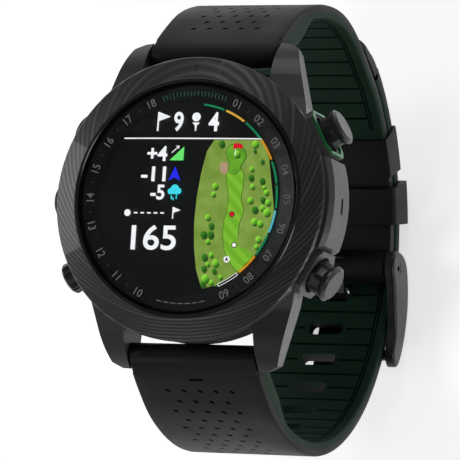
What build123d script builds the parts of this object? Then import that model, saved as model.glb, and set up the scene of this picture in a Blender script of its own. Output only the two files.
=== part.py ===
from build123d import *
import math
import os

os.makedirs("parts", exist_ok=True)

# Golf watch, dial up. X points to 3 o'clock, Y to 12 o'clock, Z out of the dial.
# The origin is the middle of the rear sensor window's outer face. Millimetres.

# Case
case_radius = 22.5
cavity_radius = 20.2
case_bottom = 1.0
case_top = 12.0
shoulder_top = 4.2
shoulder_radius = 15.2
cover_radius = 18.85
cover_top = 2.35
bezel_radius = 23.0
crystal_radius = 18.7
crystal_bottom = 12.85
crystal_edge_top = 13.88
crystal_top = 14.7

# Lugs and their pins
lug_inner = 11.2
lug_plan_height = 9.0
lug_undercut = 11
lug_top_fall = 0.27
pin_reach = 24.5
pin_height = 5.0
lug_pin_radius = 0.75

# Buttons: angle from 3 o'clock, kind and travel
button_height = 7.4
stem_radius = 0.85
sleeve_radius = 1.45
collar_half = 3.9
collar_corner = 1.3
button_angles = {"light_2": 28.5, "start_4": -28.5, "down_8": 210, "menu_9": 180, "up_10": 150}
large_button_angles = [button_angles["light_2"], button_angles["start_4"]]

# Band: a closed loop about one centre, in the YZ plane
loop_height = -20.1
strap_half = 11.0
nose_hole = 1.52
groove_half = 8.6
short_liner_end = -53
roll_start = -91.5
long_liner_end = -34
tail_end = -16
short_groove_pitch = 5.75
short_first_groove = 11.8
slot_width = 6.3
slot_length = 2.5
slot_corner = 1.1
latch_angles = {"upper": 35.6, "lower": -180 - 35.6}
latch_floor = 33.75
skin_thickness = 1.15
strap_thickness = 2.35
inner_radius = 34.9
upper_growth = 0.32
nose_radius = 2.1
short_low_radius = 33.25
tail_radius = 35.95
roll_radius = 2.65
buckle_pin_radius = 0.8
buckle_pin_angle = -93
buckle_pin_reach = 32.5
slot_pitch = 10.65
first_slot = -153.0
slot_count = 11
upper_pin_angle = math.degrees(math.atan2(pin_height - loop_height, pin_reach))
lower_pin_angle = -180 - upper_pin_angle


def smooth(value, low, high):
    """Rises softly from 0 at low to 1 at high."""
    part = min(1, max(0, (value - low) / (high - low)))
    return part * part * (3 - 2 * part)


def on_loop(radius, angle):
    """Height and reach of a point of the loop, as (Y, Z)."""
    turn = math.radians(angle)
    return (radius * math.cos(turn), loop_height + radius * math.sin(turn))


def loop_frame(radius, angle):
    """Plane on the loop: local X along +X, local Z away from the loop's centre."""
    reach, height = on_loop(radius, angle)
    turn = math.radians(angle)
    return Plane(origin=(0, reach, height), x_dir=(1, 0, 0), z_dir=(0, math.cos(turn), math.sin(turn)))


def side_face(*edges):
    """Closed face in the YZ plane from edges drawn there."""
    return make_face(Curve() + list(edges))


def across(face, half):
    """Extrudes a YZ face to both sides of the middle plane."""
    return extrude(face, amount=half, dir=(1, 0, 0), both=True)


def band(inner, outer, start, end, half, step=4.0):
    """Length of band between two radius formulas, from one loop angle to another."""
    count = max(2, round(abs(end - start) / step))
    angles = [start + (end - start) * index / count for index in range(count + 1)]
    low = [(0, *on_loop(inner(angle), angle)) for angle in angles]
    high = [(0, *on_loop(outer(angle), angle)) for angle in angles]
    return across(
        side_face(Spline(*low), Line(low[-1], high[-1]), Spline(*reversed(high)), Line(high[0], low[0])),
        half,
    )


def tube_along_x(reach, height, radius, half):
    return Location((0, reach, height), (0, 90, 0)) * Cylinder(radius, 2 * half)


def turned(*outline):
    """Solid of revolution about Z from (radius, height) points."""
    points = [(radius, 0, height) for radius, height in outline]
    return revolve(make_face(Polyline(*points, close=True)), Axis.Z)


def ring(inner, outer, bottom, top):
    return turned((inner, bottom), (outer, bottom), (outer, top), (inner, top))


on_floor = (Align.CENTER, Align.CENTER, Align.MIN)


def disc(radius, bottom, top):
    return Location((0, 0, bottom)) * Cylinder(radius, top - bottom, align=on_floor)


def button_frame(angle):
    """Plane with its Z along the button's axis, measured from the case's middle."""
    turn = math.radians(angle)
    return Plane(
        origin=(0, 0, button_height),
        x_dir=(-math.sin(turn), math.cos(turn), 0),
        z_dir=(math.cos(turn), math.sin(turn), 0),
    )


def save(name, shape):
    solids = shape.solids() if not isinstance(shape, list) else [s for item in shape for s in item.solids()]
    body = solids[0] if len(solids) == 1 else Compound(children=solids)
    body.label = name
    export_step(body, "parts/" + name + ".step")


# ---- Case ----

def lug(side_x, side_y):
    """One horn: a plan that narrows downward, under a top that falls toward the tip and the outside."""
    corners = [(5, 12.0), (5, 27.6), (12.8, 27.4), (14.9, 26.2), (17.5, 16.0), (18.0, 12.0)]
    plan = make_face(Polyline(*corners, close=True))
    plan = Location((0, 0, lug_plan_height)) * plan
    shaft = extrude(plan, amount=8.5, dir=(0, 0, -1), taper=lug_undercut)
    shaft += extrude(plan, amount=3)
    side = side_face(
        Line((0, 12.0, 1.6), (0, 21.0, 1.6)),
        Line((0, 21.0, 1.6), (0, 26.0, 2.3)),
        ThreePointArc((0, 26.0, 2.3), (0, 27.0, 3.4), (0, 27.0, 4.8)),
        ThreePointArc((0, 27.0, 4.8), (0, 24.6, 7.5), (0, 21.0, 9.3)),
        Line((0, 21.0, 9.3), (0, 12.0, 11.6)),
        Line((0, 12.0, 11.6), (0, 12.0, 1.6)),
    )
    top_cut = Location((lug_inner, 0, 0)) * extrude(side, amount=9, dir=(1, 0, -lug_top_fall))
    horn = shaft & top_cut & Location((0, 0, 6.6)) * Box(60, 60, 10)
    if side_x < 0:
        horn = mirror(horn, about=Plane.YZ)
    if side_y < 0:
        horn = mirror(horn, about=Plane.XZ)
    return horn


def guard_bulge():
    """Raised guard on the wall between the two right buttons."""
    def spot(radius, angle):
        return (radius * math.cos(math.radians(angle)), radius * math.sin(math.radians(angle)))
    plan = make_face(Curve() + [
        ThreePointArc(spot(24.0, -17), spot(24.1, 0), spot(24.0, 17)),
        Line(spot(24.0, 17), spot(22.0, 21)),
        Line(spot(22.0, 21), spot(21.3, 0)),
        Line(spot(21.3, 0), spot(22.0, -21)),
        Line(spot(22.0, -21), spot(24.0, -17)),
    ])
    bulge = Location((0, 0, 3.4)) * extrude(plan, amount=8.0)
    rims = bulge.edges().filter_by(GeomType.CIRCLE)
    return chamfer(rims, 0.7)


def collar_outline(grow):
    """Chamfered square around a large button, grown to both sides."""
    half = collar_half + grow
    cut = half - collar_corner
    corners = [
        (half, cut), (cut, half), (-cut, half), (-half, cut),
        (-half, -cut), (-cut, -half), (cut, -half), (half, -cut),
    ]
    return make_face(Polyline(*corners, close=True))


def button_collar(angle):
    """Collar that shields a large button's neck."""
    return button_frame(angle) * (Location((0, 0, 21.0)) * extrude(collar_outline(0), amount=2.6))


vent_at = (24.0, -0.2, 7.2)
screw_ring = 17.5
screw_offset = screw_ring * math.cos(math.radians(45))
screw_spots = [(x, y) for x in (screw_offset, -screw_offset) for y in (screw_offset, -screw_offset)]

case = turned(
    (0, case_bottom), (19.7, case_bottom), (21.7, 2.6),
    (case_radius, 4.8), (case_radius, case_top), (0, case_top),
)
for side_x in (1, -1):
    for side_y in (1, -1):
        case += lug(side_x, side_y)
case += guard_bulge()
for angle in large_button_angles:
    case += button_collar(angle)
cavity = turned(
    (0, 0.5), (cover_radius + 0.05, 0.5), (cover_radius + 0.05, cover_top + 0.05),
    (shoulder_radius, cover_top + 0.05), (shoulder_radius, shoulder_top),
    (cavity_radius, shoulder_top), (cavity_radius, 15), (0, 15),
)
case -= cavity
case -= ring(15.55, 16.45, cover_top, 3.05)
for angle in button_angles.values():
    case -= button_frame(angle) * disc(sleeve_radius + 0.01, 19.0, 25.0)
for angle in large_button_angles:
    case -= button_frame(angle) * disc(3.15, 22.55, 25.0)
for x, y in screw_spots:
    case -= Location((x, y, 0)) * disc(0.52, 2.0, 3.9)
for side in (1, -1):
    case -= tube_along_x(side * pin_reach, pin_height, lug_pin_radius + 0.01, 13.5)
case -= Location(vent_at) * Box(1.6, 2.6, 0.8)
save("case_body", case)

vent = Location((-0.25, 0, 0)) * Box(0.5, 2.58, 0.78) - Box(0.7, 2.2, 0.4)
vent = Location(vent_at) * vent
save("vent_insert", vent)

bezel = turned(
    (18.2, 11.95), (19.6, 11.95), (19.6, 11.4), (20.15, 11.4), (20.15, case_top), (22.75, case_top),
    (bezel_radius, 12.25), (bezel_radius, 12.7), (22.8, 12.9),
    (19.45, 13.85), (19.45, 12.3), (18.2, 12.3),
)
save("bezel_ring", bezel)

lip = ring(18.75, 19.42, 12.3, 14.0)
lip = chamfer(lip.edges().filter_by(GeomType.CIRCLE).group_by(Axis.Z)[-1], 0.15)
save("bezel_lip_ring", lip)

dome_rise = crystal_top - crystal_edge_top
dome_radius = (crystal_radius ** 2 + dome_rise ** 2) / (2 * dome_rise)
glass = disc(crystal_radius, crystal_bottom, crystal_top + 1)
glass &= Location((0, 0, crystal_top - dome_radius)) * Sphere(dome_radius)
save("crystal", glass)
save("crystal_gasket", ring(18.25, crystal_radius, 12.3, crystal_bottom))

panel_bottom = 11.8
panel_top = 12.3
panel_radius = 16.3
chapter = turned((15.6, panel_top), (18.15, panel_top), (18.15, 12.8), (15.6, 12.45))
save("chapter_ring", chapter)
save("display_panel", disc(panel_radius, panel_bottom, panel_top))
carrier = disc(18.1, 9.2, panel_top) + ring(17.0, 19.9, 9.2, 11.35)
carrier -= disc(panel_radius + 0.05, panel_bottom, panel_top + 1)
carrier -= Location((0, -12, 10.5)) * Box(9, 3, 4)
save("display_carrier", carrier)
antenna = ring(18.5, 19.5, 11.4, 11.9) - Location((0, -19, 11.6)) * Box(4, 3, 2)
save("antenna_ring", antenna)

# ---- Inside the case ----

board = disc(18.6, 5.2, 6.0)
save("main_board", board)

shield_places = {(-5, 4): (10, 9), (7, 5): (9, 8), (0, -8): (14, 7)}
shields = [Location((x, y, 6.0)) * Box(w, d, 1.5, align=on_floor)
           for (x, y), (w, d) in shield_places.items()]
save("chip_shields", shields)

battery = Location((2, 0, 3.0)) * extrude(RectangleRounded(20, 17, 2), amount=2.1)
save("battery", battery)
save("vibration_motor", Location((-11.7, 0, 0)) * disc(3.3, 3.0, 5.0))
save("sensor_board", disc(9.0, 2.4, 2.9))

flex = Location((0, -12, 6.0)) * Box(8, 0.3, panel_bottom - 6.1, align=on_floor)
save("display_flex", flex)

cover = turned(
    (0, 0), (10.6, 0), (11.9, case_bottom),
    (cover_radius, case_bottom), (cover_radius, cover_top), (0, cover_top),
)
cover -= disc(6.0, -1, 3)
socket_y = -15.0
cover -= Location((0, socket_y, 1.65)) * Box(8.4, 4.2, 3)
for x, y in screw_spots:
    cover -= Location((x, y, 0)) * disc(0.55, 0, 3)
    cover -= Location((x, y, 0)) * disc(0.95, 0, 1.55)
save("rear_cover", cover)
save("sensor_window", disc(5.97, 0, 1.3))
save("rear_gasket", ring(15.6, 16.4, cover_top, 3.0))

screws = []
for x, y in screw_spots:
    screw = disc(0.9, 1.1, 1.55) + disc(0.5, 1.55, 3.8)
    screw -= Location((0, 0, 1.1)) * Box(0.3, 1.2, 0.5)
    screws.append(Location((x, y, 0)) * screw)
save("rear_screws", screws)

socket = Location((0, socket_y, 0)) * Box(8.36, 4.16, 1.3, align=on_floor)
socket = Location((0, 0, case_bottom)) * socket
socket -= Location((0, socket_y, case_bottom)) * Box(7.0, 2.8, 1.8)
for index in range(4):
    socket -= Location((-2.4 + 1.6 * index, socket_y, 0)) * disc(0.42, 1.5, 3)
save("charge_socket", socket)
contacts = [Location((-2.4 + 1.6 * index, socket_y, 0)) * disc(0.4, 1.7, 2.3) for index in range(4)]
save("charge_contacts", contacts)

# ---- Buttons ----

def large_cap():
    """Faceted neck under a flared, domed head."""
    neck = Location((0, 0, 23.3)) * extrude(RegularPolygon(2.8, 8), amount=2.4)
    head = Location((0, 0, 25.5)) * Cone(2.6, 3.0, 0.7, align=on_floor)
    rim = disc(3.0, 26.2, 26.55)
    crown = Location((0, 0, 26.55)) * Cone(3.0, 2.5, 0.4, align=on_floor)
    cap = neck + head + rim + crown
    for index in range(8):
        turn = Location((0, 0, 0), (0, 0, 45 * index))
        cap -= turn * (Location((3.05, 0, 24.9)) * Box(0.9, 0.8, 1.6))
    return cap


def knurled_cap():
    cap = disc(2.6, 23.3, 25.6)
    cap = chamfer(cap.edges().group_by(Axis.Z)[-1], 0.35)
    for index in range(12):
        turn = Location((0, 0, 0), (0, 0, 30 * index))
        cap -= turn * (Location((2.7, 0, 24.6)) * Box(0.5, 0.55, 2.6))
    return cap


def low_cap():
    cap = disc(2.6, 23.3, 24.9)
    return fillet(cap.edges().group_by(Axis.Z)[-1], 0.6)


cap_makers = {
    "light_2": large_cap, "start_4": large_cap, "down_8": knurled_cap, "menu_9": low_cap, "up_10": low_cap,
}
sleeves = []
switches = []
for name, angle in button_angles.items():
    frame = button_frame(angle)
    stem = disc(stem_radius, 19.35, 23.4)
    stem -= ring(0.6, 1.2, 19.74, 20.06)
    stem -= ring(0.6, 1.2, 21.2, 21.5)
    save("button_" + name, frame * (stem + cap_makers[name]()))
    save("seal_" + name, frame * ring(0.6, 0.87, 21.22, 21.48))
    clip = ring(0.6, 1.6, 19.76, 20.04) - Location((1.2, 0, 19.9)) * Box(1.6, 0.9, 1)
    save("clip_" + name, frame * clip)
    sleeves.append(frame * ring(stem_radius + 0.05, sleeve_radius, 20.25, 22.4))
    switch = Location((0, 0, 17.6)) * Box(3.8, 2.8, 1.4) + disc(0.6, 18.3, 18.6)
    switches.append(frame * switch)
save("button_sleeves", sleeves)
save("tact_switches", switches)

green_ring = extrude(collar_outline(0), amount=0.35) - extrude(collar_outline(-0.5), amount=0.35)
save("guard_ring_green", button_frame(button_angles["light_2"]) * (Location((0, 0, 23.6)) * green_ring))

# ---- Band ----

def short_outer(angle):
    return short_inner_plain(angle) + strap_thickness


def eased_radius(angle, pin_angle):
    """Inner radius of a strap, a little larger away from its lug pin."""
    return inner_radius + upper_growth * smooth(abs(angle - pin_angle), 8, 20)


def short_inner_plain(angle):
    full = eased_radius(angle, upper_pin_angle)
    return short_low_radius + (full - short_low_radius) * smooth(angle, -32, -2)


def short_inner(angle):
    thick = smooth(angle, 17, 29)
    return short_inner_plain(angle) - 2.2 * thick


def long_inner_plain(angle):
    start_radius = eased_radius(angle, lower_pin_angle)
    tip = 0.85 * smooth(angle, -27, -16)
    return start_radius + (tail_radius - start_radius) * smooth(angle, -122, -90) + tip


def long_inner(angle):
    thick = smooth(-angle, 197, 209)
    return long_inner_plain(angle) - 2.2 * thick


def long_outer(angle):
    taper = 1.9 * smooth(angle, -33, -15)
    return long_inner_plain(angle) + strap_thickness - taper


def slot_cutter(angle):
    sketch = RectangleRounded(slot_width, slot_length, slot_corner)
    return loop_frame(31, angle) * extrude(sketch, amount=9)


def groove_cutter(radius, angle):
    """Shallow cross groove in an inner face."""
    return loop_frame(radius, angle) * Box(2 * groove_half, 0.35, 0.8)


def latch_pocket(angle):
    return loop_frame(31.0, angle) * Box(7.4, 6.4, 2 * (latch_floor - 31.0))


def short_middle(angle):
    """Radius where the short strap's outer skin meets its liner."""
    return short_outer(angle) - skin_thickness


def long_middle(angle):
    """Radius where the long strap's outer skin meets its liner."""
    return long_outer(angle) - skin_thickness


pin_spots = {"upper": (pin_reach, pin_height), "lower": (-pin_reach, pin_height)}
buckle_spot = on_loop(buckle_pin_reach, buckle_pin_angle)
case_clearance = disc(case_radius + 0.25, 0, case_top)

short_start = upper_pin_angle + 0.5
skin = band(short_middle, short_outer, short_start, short_liner_end, strap_half)
skin += band(short_inner, short_outer, short_liner_end + 0.05, roll_start, strap_half)
skin += tube_along_x(*pin_spots["upper"], nose_radius, strap_half)
skin += tube_along_x(*buckle_spot, roll_radius, strap_half)
skin -= tube_along_x(*pin_spots["upper"], nose_hole, 12)
skin -= tube_along_x(*buckle_spot, buckle_pin_radius + 0.05, 12)
skin -= tube_along_x(*buckle_spot, 2.0, 3.35)
skin -= Location((0, buckle_spot[0] - 2.2, buckle_spot[1] + 0.5)) * Box(6.7, 4.6, 8.0)
skin -= latch_pocket(latch_angles["upper"])
save("strap_short_outer", skin - case_clearance)

liner = band(short_inner, short_middle, short_start - 3.0, short_liner_end, strap_half)
liner -= tube_along_x(*pin_spots["upper"], nose_radius + 0.02, 12)
liner -= latch_pocket(latch_angles["upper"])
for index in range(11):
    angle = short_first_groove - short_groove_pitch * index
    liner -= groove_cutter(short_inner(angle), angle)
save("strap_short_liner", liner - case_clearance)

long_start = lower_pin_angle - 0.5
skin = band(long_middle, long_outer, long_start, long_liner_end, strap_half)
skin += band(long_inner, long_outer, long_liner_end - 0.05, tail_end, strap_half)
skin += tube_along_x(*pin_spots["lower"], nose_radius, strap_half)
skin -= tube_along_x(*pin_spots["lower"], nose_hole, 12)
liner = band(long_inner, long_middle, long_start + 3.5, long_liner_end - 0.05, strap_half)
liner -= tube_along_x(*pin_spots["lower"], nose_radius + 0.02, 12)
for index in range(slot_count):
    angle = first_slot + slot_pitch * index
    skin -= slot_cutter(angle)
    liner -= slot_cutter(angle)
    between = angle - slot_pitch / 2
    liner -= groove_cutter(long_inner(between), between)
skin -= latch_pocket(latch_angles["lower"])
liner -= latch_pocket(latch_angles["lower"])
save("strap_long_outer", skin - case_clearance)
save("strap_long_liner", liner - case_clearance)

pins = [tube_along_x(*spot, lug_pin_radius, 13.45) for spot in pin_spots.values()]
save("lug_pins", pins)
end_tubes = []
for spot in pin_spots.values():
    end_tubes.append(tube_along_x(*spot, 1.5, 10.9) - tube_along_x(*spot, lug_pin_radius + 0.02, 12))
save("strap_end_tubes", end_tubes)

for name, angle in latch_angles.items():
    toward_pin = -0.85 if name == "upper" else 0.85
    plate = Location((0, toward_pin, 0)) * Box(7.0, 4.2, 0.9)
    for ridge in (-1, 0, 1):
        plate += Location((0, toward_pin + 0.9 * ridge, -0.6)) * Box(4.6, 0.4, 0.5)
    save("release_latch_" + name, loop_frame(33.15, angle) * plate)

# ---- Keepers ----

def keeper(start, end, gap, wall, corner):
    """Closed band around both straps, with its long outer corners rounded."""
    low = short_low_radius - gap
    high = tail_radius + strap_thickness + gap
    outside = band(lambda a: low - wall, lambda a: high + wall, start, end, strap_half + gap + wall)
    outside = fillet(outside.edges().filter_by(GeomType.BSPLINE), corner)
    inside = band(lambda a: low, lambda a: high, start - 2, end + 2, strap_half + gap)
    return outside - inside


save("fixed_keeper", keeper(-65.0, -53.0, 0.02, 0.45, 0.4))
save("free_keeper", keeper(-79.5, -68.4, 0.25, 1.0, 0.9))

# ---- Buckle ----

arm_inner = 11.45
arm_outer = 13.1
bar_spot = (-16.58, -55.18)
bar_radius = 1.0
arm_outline = [
    (0.9, -50.9), (1.3, -53.6), (0.0, -56.6), (-3.8, -58.4), (-8.0, -58.98), (-12.9, -58.3), (-16.9, -56.8),
    (-18.7, -55.0), (-17.5, -53.1), (-13.5, -53.3), (-9.0, -52.5), (-4.6, -51.2), (-1.7, -49.9),
]
arm_edge = Spline(*[(0, reach, height) for reach, height in arm_outline], periodic=True)
arm = extrude(make_face(arm_edge), amount=arm_outer - arm_inner, dir=(1, 0, 0))
arm = fillet(arm.faces().sort_by(Axis.X)[-1].edges(), 0.6)
buckle = Location((arm_inner, 0, 0)) * arm
buckle += mirror(buckle, about=Plane.YZ)
buckle += tube_along_x(*bar_spot, bar_radius, arm_inner + 0.5)
buckle -= tube_along_x(*buckle_spot, buckle_pin_radius, 15)
for side in (1, -1):
    buckle -= Location((side * (arm_outer - 0.35), *buckle_spot), (0, 90, 0)) * Cylinder(1.2, 0.9)
save("buckle_frame", buckle)

pin = tube_along_x(*buckle_spot, buckle_pin_radius, arm_outer - 0.85)
save("buckle_pin", pin)
caps = []
for side in (1, -1):
    cap = Location((side * (arm_outer - 0.4), *buckle_spot), (0, 90, 0)) * Cylinder(1.17, 0.7)
    key_hole = extrude(RegularPolygon(0.6, 6), amount=0.6, both=True)
    cap -= Location((side * (arm_outer - 0.15), *buckle_spot), (0, 90, 0)) * key_hole
    caps.append(cap)
save("buckle_pin_caps", caps)

tang_half = 2.9
tang_thickness = 1.0


def tang_run(start, end):
    """Straight run of the tang with a rounded far end."""
    rise = math.degrees(math.atan2(end[1] - start[1], end[0] - start[0]))
    length = math.dist(start, end)
    middle = ((start[0] + end[0]) / 2, (start[1] + end[1]) / 2)
    run = Location((0, *middle), (rise, 0, 0)) * Box(2 * tang_half, length, tang_thickness)
    return run + tube_along_x(*end, tang_thickness / 2, tang_half)


tang_route = [
    on_loop(32.6, -93.6), on_loop(34.2, -99.6), on_loop(38.6, -100.45),
    on_loop(39.9, -107.0), on_loop(40.95, -118.0),
]
tang_arm = tang_run(tang_route[0], tang_route[1])
for start, end in zip(tang_route[1:], tang_route[2:]):
    tang_arm += tang_run(start, end)
tang = tang_arm + tube_along_x(*buckle_spot, 1.6, tang_half)
tang -= tube_along_x(*buckle_spot, buckle_pin_radius + 0.06, 4)
save("buckle_tang", tang)
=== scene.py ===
import bpy
import math
from mathutils import Matrix, Vector


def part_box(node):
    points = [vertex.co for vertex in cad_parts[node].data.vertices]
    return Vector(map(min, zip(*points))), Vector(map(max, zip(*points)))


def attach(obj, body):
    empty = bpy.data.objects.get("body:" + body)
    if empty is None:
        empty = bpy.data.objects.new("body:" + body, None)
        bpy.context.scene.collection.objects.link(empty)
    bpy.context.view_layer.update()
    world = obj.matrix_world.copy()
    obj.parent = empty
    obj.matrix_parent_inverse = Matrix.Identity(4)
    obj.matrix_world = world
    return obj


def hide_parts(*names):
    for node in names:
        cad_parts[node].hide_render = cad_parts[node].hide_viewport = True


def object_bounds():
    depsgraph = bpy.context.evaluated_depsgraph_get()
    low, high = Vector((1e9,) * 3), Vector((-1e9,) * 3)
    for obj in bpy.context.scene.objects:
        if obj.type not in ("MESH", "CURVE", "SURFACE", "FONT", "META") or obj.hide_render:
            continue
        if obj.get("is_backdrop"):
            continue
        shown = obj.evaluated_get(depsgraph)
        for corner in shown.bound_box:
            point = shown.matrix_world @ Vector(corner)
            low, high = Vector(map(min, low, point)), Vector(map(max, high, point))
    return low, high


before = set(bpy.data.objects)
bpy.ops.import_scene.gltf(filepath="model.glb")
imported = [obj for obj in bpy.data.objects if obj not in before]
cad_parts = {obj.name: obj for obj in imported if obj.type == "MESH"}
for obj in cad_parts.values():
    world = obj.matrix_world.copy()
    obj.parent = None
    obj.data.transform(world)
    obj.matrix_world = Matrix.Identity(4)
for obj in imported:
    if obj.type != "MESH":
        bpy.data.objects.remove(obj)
bpy.context.scene.view_settings.view_transform = "Standard"
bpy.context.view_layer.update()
mm = 0.001


def deselectAll():
    bpy.ops.object.select_all(action="DESELECT")


def makeActive(obj):
    deselectAll()
    obj.select_set(True)
    bpy.context.view_layer.objects.active = obj


def applyPlace(obj):
    makeActive(obj)
    bpy.ops.object.transform_apply(location=True, rotation=True, scale=True)


def applyModifier(obj, modifier):
    makeActive(obj)
    bpy.ops.object.modifier_apply(modifier=modifier.name)


def joinAll(objs, name):
    deselectAll()
    for obj in objs:
        obj.select_set(True)
    bpy.context.view_layer.objects.active = objs[0]
    if len(objs) > 1:
        bpy.ops.object.join()
    joined = bpy.context.view_layer.objects.active
    joined.name = name
    joined.data.name = name
    return joined


def setMaterial(obj, material):
    obj.data.materials.clear()
    obj.data.materials.append(material)


def selectEdges(obj, wanted):
    makeActive(obj)
    bpy.ops.object.mode_set(mode="EDIT")
    bpy.ops.mesh.select_mode(type="EDGE")
    bpy.ops.mesh.select_all(action="DESELECT")
    bpy.ops.object.mode_set(mode="OBJECT")
    for edge in obj.data.edges:
        edge.select = wanted(*[obj.data.vertices[index].co for index in edge.vertices])
    bpy.ops.object.mode_set(mode="EDIT")


def finishNormals(obj, angle=35):
    makeActive(obj)
    bpy.ops.object.mode_set(mode="EDIT")
    bpy.ops.mesh.select_all(action="SELECT")
    bpy.ops.mesh.normals_make_consistent(inside=False)
    bpy.ops.object.mode_set(mode="OBJECT")
    bpy.ops.object.shade_smooth_by_angle(angle=math.radians(angle))


def newGroup(name, inputs, outputs):
    group = bpy.data.node_groups.new(name, "ShaderNodeTree")
    for label, kind, value in inputs:
        socket = group.interface.new_socket(label, in_out="INPUT", socket_type=kind)
        if value is not None:
            socket.default_value = value
    for label, kind in outputs:
        group.interface.new_socket(label, in_out="OUTPUT", socket_type=kind)
    nodes = group.nodes
    return group, nodes, nodes.new("NodeGroupInput"), nodes.new("NodeGroupOutput")


def buildGrainGroup():
    group, nodes, start, end = newGroup(
        "softGrain",
        [("Vector", "NodeSocketVector", None), ("Size", "NodeSocketFloat", 900.0),
         ("Amount", "NodeSocketFloat", 0.3)],
        [("Fine", "NodeSocketFloat"), ("Blotch", "NodeSocketFloat")],
    )
    fine = nodes.new("ShaderNodeTexNoise")
    fine.inputs["Detail"].default_value = 3.0
    coarse = nodes.new("ShaderNodeTexNoise")
    coarse.inputs["Scale"].default_value = 90.0
    coarse.inputs["Detail"].default_value = 4.0
    scaled = nodes.new("ShaderNodeMath")
    scaled.operation = "MULTIPLY"
    blotch = nodes.new("ShaderNodeMapRange")
    blotch.inputs["From Min"].default_value = 0.35
    blotch.inputs["From Max"].default_value = 0.65
    link = group.links.new
    link(start.outputs["Vector"], fine.inputs["Vector"])
    link(start.outputs["Size"], fine.inputs["Scale"])
    link(start.outputs["Vector"], coarse.inputs["Vector"])
    link(fine.outputs["Fac"], scaled.inputs[0])
    link(start.outputs["Amount"], scaled.inputs[1])
    link(coarse.outputs["Fac"], blotch.inputs["Value"])
    link(scaled.outputs[0], end.inputs["Fine"])
    link(blotch.outputs["Result"], end.inputs["Blotch"])
    return group


grainGroup = buildGrainGroup()


def startMaterial(name, roughness, metallic=0.0, coat=0.0, specular=0.5):
    material = bpy.data.materials.new(name)
    material.use_nodes = True
    nodes = material.node_tree.nodes
    shader = nodes["Principled BSDF"]
    shader.inputs["Roughness"].default_value = roughness
    shader.inputs["Metallic"].default_value = metallic
    shader.inputs["Coat Weight"].default_value = coat
    shader.inputs["Specular IOR Level"].default_value = specular
    place = nodes.new("ShaderNodeTexCoord")
    return material, nodes, material.node_tree.links.new, shader, place.outputs["Object"]


def addMath(nodes, link, operation, first, second):
    node = nodes.new("ShaderNodeMath")
    node.operation = operation
    for index, value in enumerate((first, second)):
        if value is None:
            continue
        if isinstance(value, (int, float)):
            node.inputs[index].default_value = value
        else:
            link(value, node.inputs[index])
    return node.outputs[0]


def addRamp(nodes, link, source, stops):
    ramp = nodes.new("ShaderNodeValToRGB")
    while len(ramp.color_ramp.elements) < len(stops):
        ramp.color_ramp.elements.new(0.5)
    for element, (place, colour) in zip(ramp.color_ramp.elements, stops):
        element.position = place
        element.color = (*colour, 1.0)
    link(source, ramp.inputs["Fac"])
    return ramp.outputs["Color"]


def addBump(nodes, link, shader, height, strength, distance):
    bump = nodes.new("ShaderNodeBump")
    bump.inputs["Strength"].default_value = strength
    bump.inputs["Distance"].default_value = distance
    link(height, bump.inputs["Height"])
    link(bump.outputs["Normal"], shader.inputs["Normal"])


def grainMaterial(name, dark, light, roughness, size=1400.0, bump=0.25, metallic=0.0, coat=0.0,
                  spread=0.12, specular=0.5):
    material, nodes, link, shader, place = startMaterial(name, roughness, metallic, coat, specular)
    grain = nodes.new("ShaderNodeGroup")
    grain.node_tree = grainGroup
    grain.inputs["Size"].default_value = size
    grain.inputs["Amount"].default_value = 1.0
    link(place, grain.inputs["Vector"])
    mixed = addMath(nodes, link, "MULTIPLY", grain.outputs["Blotch"], 0.55)
    mixed = addMath(nodes, link, "ADD", mixed, addMath(nodes, link, "MULTIPLY", grain.outputs["Fine"],
                                                       0.45))
    link(addRamp(nodes, link, mixed, [(0.15, dark), (0.85, light)]), shader.inputs["Base Color"])
    rough = addMath(nodes, link, "MULTIPLY", grain.outputs["Blotch"], spread)
    link(addMath(nodes, link, "ADD", rough, roughness - spread / 2), shader.inputs["Roughness"])
    addBump(nodes, link, shader, grain.outputs["Fine"], bump, 0.00004)
    return material


bezelLook = {
    "plySpacing": 0.00080, "tilt": -0.5, "waver": 0.00022, "waverScale": 95.0,
    "dark": (0.009, 0.009, 0.0095), "mid": (0.020, 0.020, 0.021), "light": (0.060, 0.060, 0.062),
}


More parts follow.
